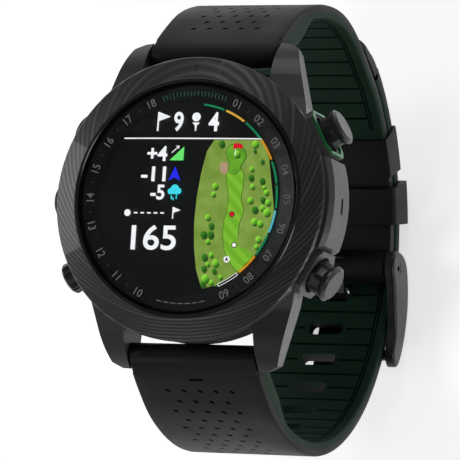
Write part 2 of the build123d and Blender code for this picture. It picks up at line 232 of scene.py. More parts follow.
def bezelMaterial(look):
    material, nodes, link, shader, place = startMaterial("bezelLaminate", 0.42, 0.0, 0.25)
    split = nodes.new("ShaderNodeSeparateXYZ")
    link(place, split.inputs[0])
    flat = nodes.new("ShaderNodeCombineXYZ")
    link(split.outputs["X"], flat.inputs["X"])
    link(split.outputs["Y"], flat.inputs["Y"])
    length = nodes.new("ShaderNodeVectorMath")
    length.operation = "LENGTH"
    link(flat.outputs[0], length.inputs[0])
    drift = nodes.new("ShaderNodeTexNoise")
    drift.inputs["Scale"].default_value = look["waverScale"]
    drift.inputs["Detail"].default_value = 2.0
    link(place, drift.inputs["Vector"])
    wander = addMath(nodes, link, "MULTIPLY", drift.outputs["Fac"], look["waver"] * 4)
    tilted = addMath(nodes, link, "MULTIPLY", split.outputs["Y"], look["tilt"])
    depth = addMath(nodes, link, "ADD", addMath(nodes, link, "ADD", length.outputs["Value"], tilted),
                    wander)
    ply = addMath(nodes, link, "DIVIDE", depth, look["plySpacing"])
    wave = addMath(nodes, link, "SINE", addMath(nodes, link, "MULTIPLY", ply, 2 * math.pi), None)
    wave = addMath(nodes, link, "ADD", addMath(nodes, link, "MULTIPLY", wave, 0.5), 0.5)
    number = addMath(nodes, link, "FLOOR", ply, None)
    tone = nodes.new("ShaderNodeTexWhiteNoise")
    tone.noise_dimensions = "1D"
    link(number, tone.inputs["W"])
    fibre = nodes.new("ShaderNodeTexNoise")
    fibre.inputs["Scale"].default_value = 1800.0
    fibre.inputs["Detail"].default_value = 3.0
    link(place, fibre.inputs["Vector"])
    shade = addMath(nodes, link, "MULTIPLY", wave, addMath(nodes, link, "ADD", addMath(
        nodes, link, "MULTIPLY", tone.outputs["Value"], 0.5), 0.5))
    shade = addMath(nodes, link, "ADD", shade, addMath(nodes, link, "MULTIPLY", fibre.outputs["Fac"], 0.22))
    colour = addRamp(nodes, link, shade, [(0.1, look["dark"]), (0.55, look["mid"]), (1.0, look["light"])])
    link(colour, shader.inputs["Base Color"])
    rough = addMath(nodes, link, "ADD", addMath(nodes, link, "MULTIPLY", wave, -0.16), 0.5)
    link(rough, shader.inputs["Roughness"])
    addBump(nodes, link, shader, shade, 0.35, 0.00006)
    return material


caseLook = {
    "weave": 0.00062, "dark": (0.008, 0.008, 0.0085), "light": (0.030, 0.030, 0.031),
    "smoothDark": (0.050, 0.050, 0.052), "smoothLight": (0.080, 0.080, 0.083),
}


def caseMaterial(look):
    material, nodes, link, shader, place = startMaterial("caseComposite", 0.5, 0.0, 0.1)
    split = nodes.new("ShaderNodeSeparateXYZ")
    link(place, split.inputs[0])
    across = addMath(nodes, link, "ADD", split.outputs["X"], split.outputs["Y"])
    along = addMath(nodes, link, "SUBTRACT", split.outputs["X"], split.outputs["Y"])
    turn = 2 * math.pi / look["weave"]
    warp = addMath(nodes, link, "SINE", addMath(nodes, link, "MULTIPLY", across, turn), None)
    weft = addMath(nodes, link, "SINE", addMath(nodes, link, "MULTIPLY", along, turn * 0.5), None)
    twill = addMath(nodes, link, "MULTIPLY", warp, addMath(nodes, link, "ADD", addMath(
        nodes, link, "MULTIPLY", weft, 0.35), 0.65))
    twill = addMath(nodes, link, "ADD", addMath(nodes, link, "MULTIPLY", twill, 0.5), 0.5)
    woven = addRamp(nodes, link, twill, [(0.1, look["dark"]), (0.95, look["light"])])
    facing = nodes.new("ShaderNodeNewGeometry")
    lift = nodes.new("ShaderNodeSeparateXYZ")
    link(facing.outputs["Normal"], lift.inputs[0])
    grain = nodes.new("ShaderNodeGroup")
    grain.node_tree = grainGroup
    grain.inputs["Size"].default_value = 1500.0
    grain.inputs["Amount"].default_value = 1.0
    link(place, grain.inputs["Vector"])
    smoothTone = addRamp(nodes, link, grain.outputs["Fine"],
                         [(0.2, look["smoothDark"]), (0.8, look["smoothLight"])])
    lugOnly = nodes.new("ShaderNodeMapRange")
    lugOnly.inputs["From Min"].default_value = 0.0165
    lugOnly.inputs["From Max"].default_value = 0.0175
    reach = addMath(nodes, link, "ABSOLUTE", split.outputs["Y"], None)
    link(reach, lugOnly.inputs["Value"])
    upward = nodes.new("ShaderNodeMapRange")
    upward.inputs["From Min"].default_value = 0.12
    upward.inputs["From Max"].default_value = 0.22
    link(lift.outputs["Z"], upward.inputs["Value"])
    mask = addMath(nodes, link, "MULTIPLY", lugOnly.outputs["Result"], upward.outputs["Result"])
    mix = nodes.new("ShaderNodeMix")
    mix.data_type = "RGBA"
    link(mask, mix.inputs["Factor"])
    link(smoothTone, mix.inputs["A"])
    link(woven, mix.inputs["B"])
    link(mix.outputs["Result"], shader.inputs["Base Color"])
    height = addMath(nodes, link, "ADD", addMath(nodes, link, "MULTIPLY", twill, mask),
                     grain.outputs["Fine"])
    addBump(nodes, link, shader, height, 0.3, 0.00005)
    rough = addMath(nodes, link, "ADD", addMath(nodes, link, "MULTIPLY", grain.outputs["Blotch"], 0.1), 0.4)
    link(rough, shader.inputs["Roughness"])
    return material


def glassMaterial():
    material, nodes, link, shader, place = startMaterial("crystalGlass", 0.02)
    shader.inputs["Base Color"].default_value = (0.96, 0.98, 1.0, 1.0)
    shader.inputs["Transmission Weight"].default_value = 1.0
    shader.inputs["IOR"].default_value = 1.5
    smudge = nodes.new("ShaderNodeTexNoise")
    smudge.inputs["Scale"].default_value = 60.0
    link(place, smudge.inputs["Vector"])
    link(addMath(nodes, link, "MULTIPLY", smudge.outputs["Fac"], 0.03), shader.inputs["Roughness"])
    return material


def glowMaterial(name, colour, strength=1.0, second=None, scale=600.0):
    material, nodes, link, shader, place = startMaterial(name, 0.6)
    shader.inputs["Base Color"].default_value = (0.0, 0.0, 0.0, 1.0)
    shader.inputs["Specular IOR Level"].default_value = 0.0
    shader.inputs["Emission Strength"].default_value = strength
    noise = nodes.new("ShaderNodeTexNoise")
    noise.inputs["Scale"].default_value = scale
    noise.inputs["Detail"].default_value = 3.0
    link(place, noise.inputs["Vector"])
    other = second or tuple(value * 0.92 for value in colour)
    link(addRamp(nodes, link, noise.outputs["Fac"], [(0.38, colour), (0.62, other)]),
         shader.inputs["Emission Color"])
    return material


def treeMaterial(name, dark, light):
    material, nodes, link, shader, place = startMaterial(name, 0.6)
    shader.inputs["Base Color"].default_value = (0.0, 0.0, 0.0, 1.0)
    shader.inputs["Specular IOR Level"].default_value = 0.0
    shader.inputs["Emission Strength"].default_value = 1.0
    own = nodes.new("ShaderNodeTexCoord")
    split = nodes.new("ShaderNodeSeparateXYZ")
    link(own.outputs["UV"], split.inputs[0])
    slope = addMath(nodes, link, "SUBTRACT", split.outputs["Y"], split.outputs["X"])
    slope = addMath(nodes, link, "ADD", addMath(nodes, link, "MULTIPLY", slope, 0.5), 0.5)
    link(addRamp(nodes, link, slope, [(0.25, dark), (0.7, light)]), shader.inputs["Emission Color"])
    return material


def fairwayMaterial():
    material, nodes, link, shader, place = startMaterial("mapFairway", 0.6)
    shader.inputs["Base Color"].default_value = (0.0, 0.0, 0.0, 1.0)
    shader.inputs["Specular IOR Level"].default_value = 0.0
    shader.inputs["Emission Strength"].default_value = 1.0
    bands = nodes.new("ShaderNodeTexWave")
    bands.inputs["Scale"].default_value = 260.0
    bands.inputs["Distortion"].default_value = 0.6
    bands.bands_direction = "DIAGONAL"
    link(place, bands.inputs["Vector"])
    link(addRamp(nodes, link, bands.outputs["Fac"], [(0.3, (0.17, 0.45, 0.025)),
                                                     (0.7, (0.23, 0.54, 0.035))]),
         shader.inputs["Emission Color"])
    return material


bezelFinish = bezelMaterial(bezelLook)
caseFinish = caseMaterial(caseLook)
glassFinish = glassMaterial()

plainLooks = {
    "lipMetal": {"dark": (0.02, 0.02, 0.021), "light": (0.05, 0.05, 0.052),
                 "roughness": 0.22, "bump": 0.1, "metallic": 0.6, "spread": 0.06},
    "strapBlack": {"dark": (0.005, 0.005, 0.0052), "light": (0.0095, 0.0095, 0.0098),
                   "roughness": 0.52, "size": 2200.0, "bump": 0.3, "specular": 0.16},
    "strapGreen": {"dark": (0.006, 0.022, 0.012), "light": (0.010, 0.033, 0.019),
                   "roughness": 0.62, "size": 1800.0, "bump": 0.3, "specular": 0.12},
    "buttonMetal": {"dark": (0.035, 0.035, 0.037), "light": (0.07, 0.07, 0.072),
                    "roughness": 0.34, "size": 1600.0, "bump": 0.2, "metallic": 0.7},
    "buckleMetal": {"dark": (0.012, 0.012, 0.013), "light": (0.024, 0.024, 0.025),
                    "roughness": 0.4, "size": 1500.0, "bump": 0.25, "metallic": 0.2},
    "accentGreen": {"dark": (0.006, 0.16, 0.04), "light": (0.012, 0.24, 0.07),
                    "roughness": 0.35, "size": 1500.0, "bump": 0.15, "metallic": 0.2},
    "pinSteel": {"dark": (0.18, 0.18, 0.18), "light": (0.32, 0.32, 0.33),
                 "roughness": 0.3, "size": 2000.0, "bump": 0.2, "metallic": 1.0},
    "darkPlastic": {"dark": (0.010, 0.010, 0.011), "light": (0.020, 0.020, 0.021),
                    "roughness": 0.5, "size": 1700.0, "bump": 0.3},
    "blackSeal": {"dark": (0.006, 0.006, 0.006), "light": (0.012, 0.012, 0.012),
                  "roughness": 0.7, "size": 1500.0, "bump": 0.3},
    "dialBlack": {"dark": (0.0012, 0.0012, 0.0013), "light": (0.0022, 0.0022, 0.0024),
                  "roughness": 0.45, "size": 2500.0, "bump": 0.1},
    "sensorDark": {"dark": (0.006, 0.006, 0.008), "light": (0.012, 0.010, 0.014),
                   "roughness": 0.08, "size": 900.0, "bump": 0.02, "coat": 0.8, "spread": 0.03},
    "boardGreen": {"dark": (0.006, 0.05, 0.015), "light": (0.012, 0.09, 0.03),
                   "roughness": 0.4, "size": 700.0, "bump": 0.2},
    "shieldTin": {"dark": (0.35, 0.35, 0.34), "light": (0.5, 0.5, 0.49),
                  "roughness": 0.35, "size": 900.0, "bump": 0.2, "metallic": 0.9},
    "cellFoil": {"dark": (0.25, 0.25, 0.27), "light": (0.4, 0.4, 0.42),
                 "roughness": 0.4, "size": 500.0, "bump": 0.3, "metallic": 0.7},
    "contactGold": {"dark": (0.55, 0.36, 0.10), "light": (0.75, 0.52, 0.18),
                    "roughness": 0.22, "size": 1500.0, "bump": 0.1, "metallic": 1.0},
    "flexFilm": {"dark": (0.22, 0.09, 0.015), "light": (0.34, 0.15, 0.03),
                 "roughness": 0.3, "size": 900.0, "bump": 0.1},
}
plain = {label: grainMaterial(label, **look) for label, look in plainLooks.items()}

finishOf = {
    "case_body": caseFinish, "bezel_ring": bezelFinish, "bezel_lip_ring": plain["lipMetal"],
    "crystal": glassFinish, "crystal_gasket": plain["blackSeal"], "rear_gasket": plain["blackSeal"],
    "chapter_ring": plain["dialBlack"], "display_panel": plain["dialBlack"],
    "display_carrier": plain["darkPlastic"], "antenna_ring": plain["shieldTin"],
    "main_board": plain["boardGreen"], "sensor_board": plain["boardGreen"],
    "chip_shields": plain["shieldTin"], "vibration_motor": plain["shieldTin"], "battery": plain["cellFoil"],
    "display_flex": plain["flexFilm"], "rear_cover": plain["darkPlastic"],
    "sensor_window": plain["sensorDark"], "rear_screws": plain["pinSteel"],
    "charge_socket": plain["darkPlastic"], "charge_contacts": plain["contactGold"],
    "button_sleeves": plain["pinSteel"], "tact_switches": plain["darkPlastic"],
    "guard_ring_green": plain["accentGreen"], "vent_insert": plain["blackSeal"],
    "lug_pins": plain["pinSteel"], "strap_end_tubes": plain["pinSteel"],
    "release_latch_upper": plain["darkPlastic"], "release_latch_lower": plain["darkPlastic"],
    "fixed_keeper": plain["strapBlack"], "free_keeper": plain["strapBlack"],
    "buckle_frame": plain["buckleMetal"], "buckle_pin": plain["pinSteel"],
    "buckle_pin_caps": plain["buttonMetal"], "buckle_tang": plain["buckleMetal"],
}
for nodeName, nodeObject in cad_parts.items():
    kind = nodeName.split("_")[0]
    usual = {"button": plain["buttonMetal"], "seal": plain["blackSeal"],
             "clip": plain["pinSteel"]}.get(kind, plain["darkPlastic"])
    setMaterial(nodeObject, finishOf.get(nodeName, usual))
print("finishes ready")


band = {
    "loopHeight": -20.1, "half": 11.0, "skin": 1.15, "thickness": 2.35, "inner": 34.9, "growth": 0.32,
    "shortLow": 33.25,
    "tail": 35.95, "nose": 2.1, "roll": 2.65, "pinReach": 24.5, "pinHeight": 5.0,
    "bucklePinRadius": 32.5, "bucklePinAngle": -93.0, "perDegree": 0.62, "edgeRound": 0.42,
}
band["pinRadius"] = math.hypot(band["pinReach"], band["pinHeight"] - band["loopHeight"])
band["upperPin"] = math.degrees(math.atan2(band["pinHeight"] - band["loopHeight"], band["pinReach"]))
band["lowerPin"] = -180 - band["upperPin"]


def smooth(value, low, high):
    part = min(1, max(0, (value - low) / (high - low)))
    return part * part * (3 - 2 * part)


def blendValues(first, second, share):
    return first + (second - first) * share


def roundHeight(radius, offset):
    return math.sqrt(max(0.0, radius * radius - offset * offset))


def easedRadius(angle, pinAngle):
    return band["inner"] + band["growth"] * smooth(abs(angle - pinAngle), 8, 20)


def shortPlain(angle):
    return band["shortLow"] + (easedRadius(angle, band["upperPin"]) - band["shortLow"]) * smooth(angle,
                                                                                                 -32, -2)


def shortInner(angle):
    return shortPlain(angle) - 2.2 * smooth(angle, 17, 29)


def shortOuter(angle):
    return shortPlain(angle) + band["thickness"]


def longPlain(angle):
    start = easedRadius(angle, band["lowerPin"])
    return start + (band["tail"] - start) * smooth(angle, -122, -90) + 0.85 * smooth(angle, -27, -16)


def longInner(angle):
    return longPlain(angle) - 2.2 * smooth(-angle, 197, 209)


def longOuter(angle):
    return longPlain(angle) + band["thickness"] - 1.9 * smooth(angle, -33, -15)


def noseOffset(angle, pinAngle):
    return math.radians(angle - pinAngle) * band["pinRadius"]


def rollOffset(angle):
    return math.radians(angle - band["bucklePinAngle"]) * band["bucklePinRadius"]


def shortSkinHigh(angle):
    if angle > band["upperPin"]:
        return band["pinRadius"] + roundHeight(band["nose"], noseOffset(angle, band["upperPin"]))
    curl = band["bucklePinRadius"] + roundHeight(band["roll"], rollOffset(angle))
    return blendValues(curl, shortOuter(angle), smooth(angle, -92.5, -90.5))


def shortSkinLow(angle):
    offset = noseOffset(angle, band["upperPin"])
    if offset > -band["nose"]:
        return band["pinRadius"] - roundHeight(band["nose"], offset)
    if angle > -53:
        return shortOuter(angle) - band["skin"]
    curl = band["bucklePinRadius"] - roundHeight(band["roll"], rollOffset(angle))
    if angle < band["bucklePinAngle"]:
        return curl
    return min(shortInner(angle), curl) if abs(rollOffset(angle)) < band["roll"] else shortInner(angle)


def longSkinHigh(angle):
    if angle < band["lowerPin"]:
        return band["pinRadius"] + roundHeight(band["nose"], noseOffset(angle, band["lowerPin"]))
    return longOuter(angle)


def longSkinLow(angle):
    offset = -noseOffset(angle, band["lowerPin"])
    if offset > -band["nose"]:
        return band["pinRadius"] - roundHeight(band["nose"], offset)
    if angle < -34:
        return longOuter(angle) - band["skin"]
    return longInner(angle)


def anglesBetween(start, end, step, extra=()):
    count = max(1, round(abs(end - start) / step))
    plain = [start + (end - start) * index / count for index in range(count + 1)]
    return sorted(set(round(value, 4) for value in plain + list(extra) if min(start,
                                                                              end) <= value <= max(start,
                                                                                                   end)))


def roundAngles(middle, radius, distance):
    reach = math.degrees(radius / distance)
    return [middle + reach * math.sin(math.radians(turn)) for turn in range(-90, 91, 15)]


tiny = 1e-4


def flatStrip(name, angles, half, thickness):
    rows = len(angles) - 1
    deselectAll()
    bpy.ops.mesh.primitive_grid_add(x_subdivisions=8, y_subdivisions=rows, size=1)
    strip = bpy.context.object
    strip.name = name
    for vertex in strip.data.vertices:
        row = round((vertex.co.y + 0.5) * rows)
        vertex.co = (vertex.co.x * 2 * half, angles[row] * band["perDegree"], 0.0)
    bpy.ops.object.mode_set(mode="EDIT")
    bpy.ops.mesh.select_all(action="SELECT")
    bpy.ops.mesh.extrude_region_move(TRANSFORM_OT_translate={"value": (0, 0, thickness)})
    bpy.ops.mesh.select_all(action="SELECT")
    bpy.ops.mesh.normals_make_consistent(inside=False)
    bpy.ops.object.mode_set(mode="OBJECT")

    def onRim(*ends):
        return all(abs(abs(end.x) - half) < tiny and end.z > thickness - tiny for end in ends)

    selectEdges(strip, onRim)
    bpy.ops.mesh.bevel(offset=band["edgeRound"], segments=3, affect="EDGES")
    bpy.ops.object.mode_set(mode="OBJECT")
    return strip


def ovalCutters(places, radii, slant, depth, top):
    cutters = []
    for x, y in places:
        bpy.ops.mesh.primitive_cylinder_add(vertices=12, radius=1, depth=2 * depth, location=(x, y, top))
        cutter = bpy.context.object
        cutter.scale = (radii[0], radii[1], 1)
        cutter.rotation_euler = (0, 0, slant)
        cutters.append(cutter)
    return finishCutters(cutters)


cutSteps = {"longest": 8, "step": 0.9}  # a long cutter is divided, so that it bends with the loop


def cutAlong(cutter, count):
    selectEdges(cutter, lambda first, second: abs(first.y - second.y) > 1)
    bpy.ops.mesh.subdivide(number_cuts=count)
    bpy.ops.object.mode_set(mode="OBJECT")


def boxCutters(boxes, top):
    cutters = []
    for x, y, width, length, depth, corner in boxes:
        bpy.ops.mesh.primitive_cube_add(size=1, location=(x, y, top))
        cutter = bpy.context.object
        cutter.scale = (width, length, 2 * depth)
        bpy.ops.object.transform_apply(location=True, rotation=True, scale=True)
        if length > cutSteps["longest"]:
            cutAlong(cutter, round(length / cutSteps["step"]))
        if corner > 0:
            selectEdges(cutter, lambda first, second: abs(first.z - second.z) > depth)
            bpy.ops.mesh.bevel(offset=corner, segments=4, affect="EDGES")
            bpy.ops.object.mode_set(mode="OBJECT")
        cutters.append(cutter)
    return finishCutters(cutters)


def finishCutters(cutters):
    joined = joinAll(cutters, "cutter")
    applyPlace(joined)
    return joined


def carve(obj, cutter):
    cut = obj.modifiers.new("carve", "BOOLEAN")
    cut.operation = "DIFFERENCE"
    cut.solver = "EXACT"
    cut.object = cutter
    applyModifier(obj, cut)
    bpy.data.objects.remove(cutter, do_unlink=True)


def wrapOnLoop(obj, low, high, thickness, inward, narrow=None):
    for vertex in obj.data.vertices:
        angle = vertex.co.y / band["perDegree"]
        share = vertex.co.z / thickness
        bottom, top = (high(angle), low(angle)) if inward else (low(angle), high(angle))
        radius = bottom + (top - bottom) * share
        turn = math.radians(angle)
        width = vertex.co.x * (narrow(angle) if narrow else 1.0)
        vertex.co = (
            width * mm, radius * math.cos(turn) * mm, (band["loopHeight"] + radius * math.sin(turn)) * mm,
        )
    finishNormals(obj, 32)


liner = {"thickness": 1.2, "cross": (17.2, 0.46, 0.62, 0), "side": (4.7, 0.46, 0.62, 0), "sideReach": 6.15,
         "borders": (-9.3, -8.78, 8.78, 9.3), "border": (0.3, 0.55), "pocket": (7.4, 6.4, 0.66, 0)}
holes = {"pitchX": 2.8, "pitchAlong": 2.35, "radii": (0.5, 0.27), "slant": math.radians(-32), "depth": 0.75}


def holePlaces(start, end):
    places = []
    rows = int(abs(end - start) * band["perDegree"] / holes["pitchAlong"])
    for row in range(rows + 1):
        y = start * band["perDegree"] + math.copysign(row * holes["pitchAlong"], end - start)
        count = 5 if row % 2 == 0 else 4
        for column in range(count):
            places.append(((column - (count - 1) / 2) * holes["pitchX"], y))
    return places


slots = {"first": -153.0, "pitch": 10.65, "count": 11, "width": 6.3, "length": 2.5, "corner": 0.85}
slotAngles = [slots["first"] + slots["pitch"] * index for index in range(slots["count"])]


def slotBoxes(depth):
    return [(0, angle * band["perDegree"], slots["width"], slots["length"], depth, slots["corner"])
            for angle in slotAngles]


def borderBoxes(middle, length):
    width, depth = liner["border"]
    return [(x, middle, width, length, depth, 0) for x in liner["borders"]]


def makeShortSkin():
    nose = roundAngles(band["upperPin"], band["nose"], band["pinRadius"])
    roll = roundAngles(band["bucklePinAngle"], band["roll"], band["bucklePinRadius"])
    angles = anglesBetween(roll[0], nose[-1], 1.5, nose + roll + [-53.02, -52.98, nose[0] - 0.03])
    skin = flatStrip("strapShortSkin", angles, band["half"], band["skin"])
    carve(skin, ovalCutters(holePlaces(37, -8), holes["radii"], holes["slant"], holes["depth"],
                            band["skin"]))
    notch = [(0, -93.8 * band["perDegree"], 6.7, 4.9, 3.0, 0)]
    carve(skin, boxCutters(notch, band["skin"]))
    wrapOnLoop(skin, shortSkinLow, shortSkinHigh, band["skin"], False)
    return skin


def makeShortLiner():
    end = -53.0
    angles = anglesBetween(end, band["upperPin"] - 3.5, 1.5)
    thickness = liner["thickness"]
    strip = flatStrip("strapShortLiner", angles, band["half"], thickness)
    grooves = [(0, (11.8 - 5.75 * index) * band["perDegree"], *liner["cross"]) for index in range(-3, 11)]
    carve(strip, boxCutters(grooves, thickness))
    length = 81 * band["perDegree"]
    middle = (31.5 - 49.5) / 2 * band["perDegree"]
    carve(strip, boxCutters(borderBoxes(middle, length), thickness))
    pocket = [(0, 35.6 * band["perDegree"], *liner["pocket"])]
    carve(strip, boxCutters(pocket, thickness))
    wrapOnLoop(strip, shortInner, lambda angle: shortOuter(angle) - band["skin"], thickness, True)
    return strip


def tailNarrow(angle):
    part = min(1, max(0, (angle + 23.5) / 7.5))
    return 1 - 0.55 * (1 - math.sqrt(1 - part * part * 0.98))


def makeLongSkin():
    nose = roundAngles(band["lowerPin"], band["nose"], band["pinRadius"])
    tip = [-23.5 + 7.5 * math.sin(math.radians(turn)) for turn in range(0, 91, 10)]
    angles = anglesBetween(nose[0], -16, 1.5, nose + tip + [-34.02, -33.98, nose[-1] + 0.03])
    skin = flatStrip("strapLongSkin", angles, band["half"], band["skin"])
    carve(skin, ovalCutters(holePlaces(-217, -164), holes["radii"], -holes["slant"], holes["depth"],
                            band["skin"]))
    carve(skin, boxCutters(slotBoxes(3.0), band["skin"]))
    pill = [(0, -221.0 * band["perDegree"], 2.4, 0.55, 0.3, 0.2)]
    carve(skin, boxCutters(pill, band["skin"]))
    wrapOnLoop(skin, longSkinLow, longSkinHigh, band["skin"], False, tailNarrow)
    return skin


def makeLongLiner():
    start = band["lowerPin"] + 3.5
    angles = anglesBetween(start, -34.05, 1.5)
    thickness = liner["thickness"]
    strip = flatStrip("strapLongLiner", angles, band["half"], thickness)
    carve(strip, boxCutters(slotBoxes(3.0), thickness))
    grooves = []
    for angle in slotAngles:
        y = angle * band["perDegree"]
        grooves.append((0, (angle - slots["pitch"] / 2) * band["perDegree"], *liner["cross"]))
        for side in (1, -1):
            grooves.append((side * liner["sideReach"], y, *liner["side"]))
    for index in range(1, 9):
        grooves.append((0, (slots["first"] - slots["pitch"] / 2 - 5.3 * index) * band["perDegree"],
                        *liner["cross"]))
    carve(strip, boxCutters(grooves, thickness))
    length = 168 * band["perDegree"]
    middle = -124 * band["perDegree"]
    carve(strip, boxCutters(borderBoxes(middle, length), thickness))
    pocket = [(0, -215.6 * band["perDegree"], *liner["pocket"])]
    carve(strip, boxCutters(pocket, thickness))
    wrapOnLoop(strip, longInner, lambda angle: longOuter(angle) - band["skin"], thickness, True)
    return strip


strapPieces = [
    (makeShortSkin, "strap_short_outer", plain["strapBlack"], "strap_black"),
    (makeShortLiner, "strap_short_liner", plain["strapGreen"], "strap_green"),
    (makeLongSkin, "strap_long_outer", plain["strapBlack"], "strap_black"),
    (makeLongLiner, "strap_long_liner", plain["strapGreen"], "strap_green"),
]
for maker, nodeName, material, slotName in strapPieces:
    piece = maker()
    setMaterial(piece, material)
    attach(piece, "watch")
    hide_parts(nodeName)
print("band ready")


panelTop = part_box("display_panel")[1][2]
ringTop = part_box("chapter_ring")[1][2]
screen = {"layer": 0.00003, "depth": 0.00002, "arcRadius": 15.2, "arcWidth": 0.34, "arcStart": 6.6,
          "arcPitch": 15.05,
          "arcLength": 13.7}

white = glowMaterial("screenWhite", (1.05, 1.05, 1.05))
rough = glowMaterial("mapRough", (0.19, 0.31, 0.045), second=(0.25, 0.38, 0.07), scale=420.0)
fairway = fairwayMaterial()
green = glowMaterial("mapGreen", (0.10, 0.33, 0.02), second=(0.16, 0.44, 0.03), scale=700.0)
outline = glowMaterial("mapOutline", (0.05, 0.16, 0.015))
sand = glowMaterial("mapSand", (0.50, 0.34, 0.20))
red = glowMaterial("markRed", (0.72, 0.012, 0.025))
darkRed = glowMaterial("markRedRim", (0.10, 0.01, 0.01))
blue = glowMaterial("iconBlue", (0.02, 0.03, 0.9))
cyan = glowMaterial("iconCyan", (0.06, 0.75, 0.85))
mint = glowMaterial("iconMint", (0.16, 0.86, 0.17))
black = glowMaterial("markBlack", (0.002, 0.002, 0.002))
arcTones = {
    "green": glowMaterial("arcGreen", (0.01, 0.22, 0.085)),
    "yellow": glowMaterial("arcYellow", (0.72, 0.42, 0.05)),
    "orange": glowMaterial("arcOrange", (0.72, 0.29, 0.015)),
    "cyan": glowMaterial("arcCyan", (0.10, 0.48, 0.60)),
}
# The chapter ring print has its real ink colour but is made to glow as painted light, standing in for the
# light that falls on it through the crystal.
ringPrintPaintedGlow = glowMaterial("ringPrintPaintedGlow", (0.125, 0.123, 0.12))
tickPrintPaintedGlow = glowMaterial("tickPrintPaintedGlow", (0.05, 0.05, 0.05))
wordPrintPaintedGlow = glowMaterial("dullGreenPrintPaintedGlow", (0.022, 0.062, 0.042))


def layerHeight(level):
    return panelTop + screen["layer"] * (level + 1)


def flatCurve(name, points, level, smoothed=False):
    curve = bpy.data.curves.new(name, "CURVE")
    curve.dimensions = "2D"
    curve.fill_mode = "BOTH"
    curve.resolution_u = 6
    spline = curve.splines.new("BEZIER")
    spline.bezier_points.add(len(points) - 1)
    for point, (x, y) in zip(spline.bezier_points, points):
        point.co = (x * mm, y * mm, 0)
        handle = "AUTO" if smoothed else "VECTOR"
        point.handle_left_type = handle
        point.handle_right_type = handle
    spline.use_cyclic_u = True
    curve.extrude = screen["depth"] / 2
    obj = bpy.data.objects.new(name, curve)
    bpy.context.collection.objects.link(obj)
    makeActive(obj)
    bpy.ops.object.convert(target="MESH")
    obj = bpy.context.object
    obj.location.z = layerHeight(level)
    applyPlace(obj)
    return obj


def grow(points, amount):
    middle = Vector((sum(p[0] for p in points) / len(points), sum(p[1] for p in points) / len(points)))
    grown = []
    for index, point in enumerate(points):
        before = Vector(points[index - 1])
        after = Vector(points[(index + 1) % len(points)])
        side = (after - before).normalized()
        out = Vector((side.y, -side.x))
        if out.dot(Vector(point) - middle) < 0:
            out = -out
        grown.append((point[0] + out.x * amount, point[1] + out.y * amount))
    return grown


def flatDisc(x, y, radius, level, vertices=24):
    deselectAll()
    bpy.ops.mesh.primitive_cylinder_add(vertices=vertices, radius=radius * mm, depth=screen["depth"],
                                        location=(x * mm, y * mm, layerHeight(level)))
    obj = bpy.context.object
    applyPlace(obj)
    return obj


def treeDisc(x, y, radius, level):
    deselectAll()
    bpy.ops.mesh.primitive_circle_add(vertices=18, radius=radius * mm, fill_type="NGON", calc_uvs=True,
                                      location=(x * mm, y * mm, layerHeight(level)))
    obj = bpy.context.object
    applyPlace(obj)
    return obj


def flatText(text, x, y, height, level, squeeze=0.82, bold=0.035, turn=0.0, align="CENTER", base=None):
    deselectAll()
    bpy.ops.object.text_add(location=(0, 0, 0))
    obj = bpy.context.object
    obj.data.body = text
    obj.data.align_x = align
    obj.data.align_y = "CENTER"
    obj.data.size = height / 0.7 * mm
    obj.data.offset = bold * height * mm
    obj.data.extrude = screen["depth"] / 2
    obj.data.resolution_u = 4
    bpy.ops.object.convert(target="MESH")
    obj = bpy.context.object
    obj.scale = (squeeze, 1, 1)
    applyPlace(obj)
    lows = [min(vertex.co[axis] for vertex in obj.data.vertices) for axis in (0, 1)]
    highs = [max(vertex.co[axis] for vertex in obj.data.vertices) for axis in (0, 1)]
    shiftX = {"CENTER": (lows[0] + highs[0]) / 2, "LEFT": lows[0], "RIGHT": highs[0]}[align]
    shiftY = (lows[1] + highs[1]) / 2
    for vertex in obj.data.vertices:
        vertex.co.x -= shiftX
        vertex.co.y -= shiftY
    obj.rotation_euler = (0, 0, turn)
    obj.location = (x * mm, y * mm, layerHeight(level) if base is None else base)
    applyPlace(obj)
    return obj


def flatBar(x, y, width, length, level, turn=0.0, base=None):
    deselectAll()
    height = layerHeight(level) if base is None else base
    bpy.ops.mesh.primitive_cube_add(size=1, location=(x * mm, y * mm, height), rotation=(0, 0, turn))
    obj = bpy.context.object
    obj.scale = (width * mm, length * mm, screen["depth"])
    applyPlace(obj)
    return obj


def showPiece(objs, name, material):
    piece = joinAll(objs, name)
    setMaterial(piece, material)
    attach(piece, "watch")


mapOutline = [(3.8, 9.45), (2.7, 7.6), (1.95, 4.0), (1.5, 0.2), (1.35, -3.7), (1.6, -7.8), (2.2, -11.4),
              (3.3, -14.3),
              (5.8, -13.9), (9.1, -11.8), (12.0, -8.9), (13.9, -5.4), (14.75, -2.1), (14.4, 0.2),
              (13.9, 3.0),
              (13.3, 6.5), (12.1, 9.45)]
fairwayOutline = [(6.7, 4.6), (6.5, 2.8), (6.85, 1.1), (6.9, -1.6), (6.45, -3.8), (6.5, -6.3), (7.05, -8.7),
                  (8.2, -10.5), (9.3, -11.5), (10.5, -10.3), (11.6, -9.0), (11.0, -8.3), (9.1, -7.2),
                  (8.95, -5.8),
                  (9.1, -3.6), (9.55, -2.1), (9.05, -0.1), (9.25, 2.6), (8.7, 4.6)]
greenOutline = [(6.75, 4.2), (6.75, 5.9), (6.2, 6.7), (6.2, 8.0), (6.9, 8.7), (8.2, 8.5), (9.1, 7.7),
                (9.4, 6.7),
                (9.1, 6.0), (8.7, 5.4), (8.5, 4.5), (7.7, 3.95)]
sandOutline = [(5.1, 5.4), (5.9, 5.9), (6.5, 4.9), (6.0, 3.9)]

